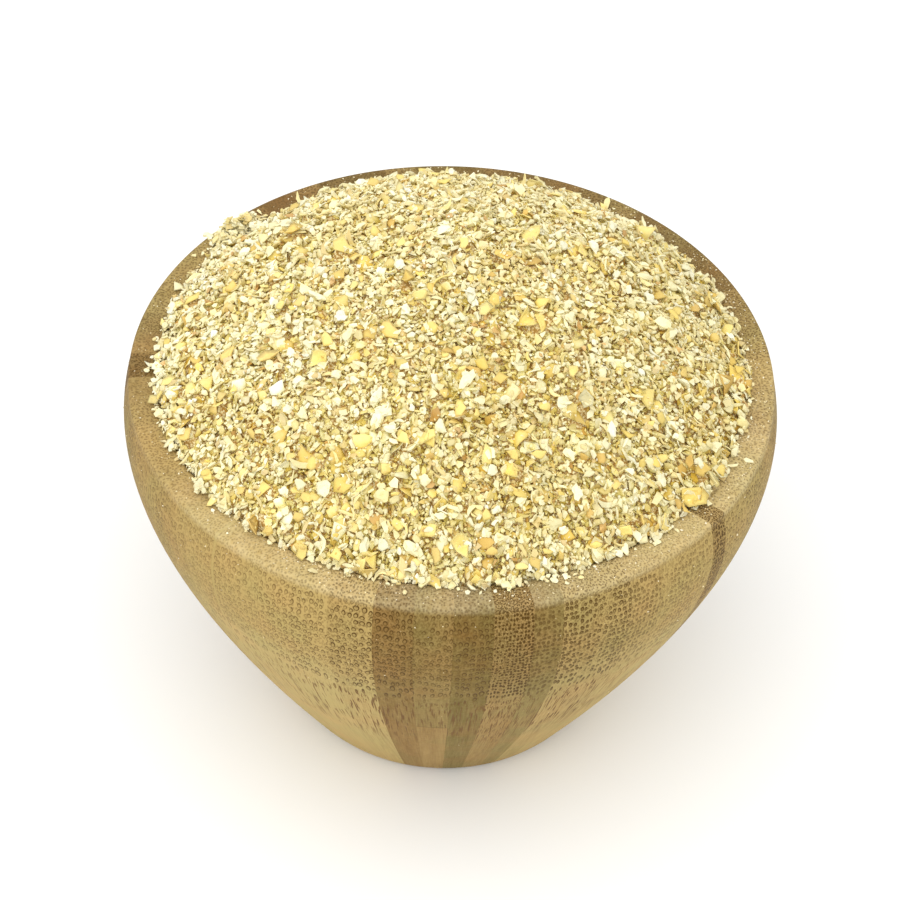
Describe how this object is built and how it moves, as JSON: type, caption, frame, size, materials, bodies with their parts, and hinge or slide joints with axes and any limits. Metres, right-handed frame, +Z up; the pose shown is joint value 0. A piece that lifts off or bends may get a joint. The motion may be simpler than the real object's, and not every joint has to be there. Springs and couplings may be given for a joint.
{
  "type": "bowl of oat bran",
  "caption": "Small round bamboo bowl heaped with loose, flaky oat bran, with a flat base to rest on.",
  "frame": {"origin": "middle of the flat base, at the bottom", "axes": "+Z up through the middle of the bowl, -Y towards the side shown in front, +X to its right"},
  "size_m": [0.102, 0.102, 0.0896],
  "materials": {
    "bamboo": "sanded bare bamboo, satin",
    "oat_bran": "dry matte flakes and flour"
  },
  "bodies": {
    "root": {"bowl": "bamboo", "oat_bran": "oat_bran"}
  },
  "joints": []
}
